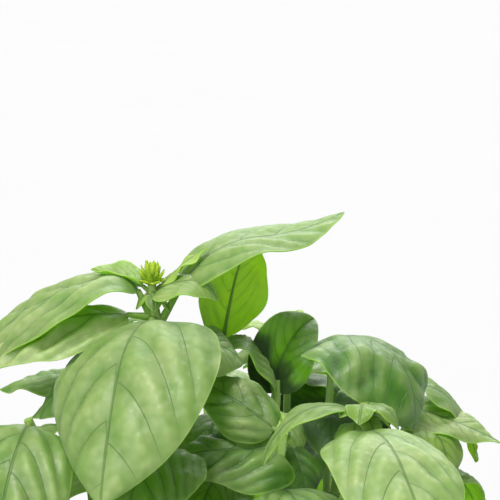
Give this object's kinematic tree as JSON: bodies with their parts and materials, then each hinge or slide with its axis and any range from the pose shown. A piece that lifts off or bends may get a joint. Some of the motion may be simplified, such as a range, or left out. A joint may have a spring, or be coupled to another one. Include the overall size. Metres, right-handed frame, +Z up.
{
  "type": "potted herb",
  "caption": "Leafy basil plant with a young flower head, growing in soil in a plain round clay pot.",
  "frame": {"origin": "middle of the pot's foot, on the surface that it stands on", "axes": "+Z up along the pot's axis, +X to the right and +Y away from the viewer when the plant is seen from its front"},
  "size_m": [0.2102, 0.1978, 0.3029],
  "materials": {
    "terracotta": "matte",
    "potting_soil": "matte",
    "basil_leaf": "satin",
    "bud_green": "satin"
  },
  "bodies": {
    "root": {"pot": "terracotta", "soil": "potting_soil", "shoot_flowering": "basil_leaf", "shoot_upright": "basil_leaf", "shoot_centre": "basil_leaf", "shoot_front_right": "basil_leaf", "shoot_front_centre": "basil_leaf", "shoot_front_left": "basil_leaf", "shoot_left": "basil_leaf", "shoot_back_centre": "basil_leaf", "shoot_back_left": "basil_leaf", "shoot_back_right": "basil_leaf", "shoot_inner_right": "basil_leaf", "shoot_right": "basil_leaf", "bud_head": "bud_green"}
  },
  "joints": []
}
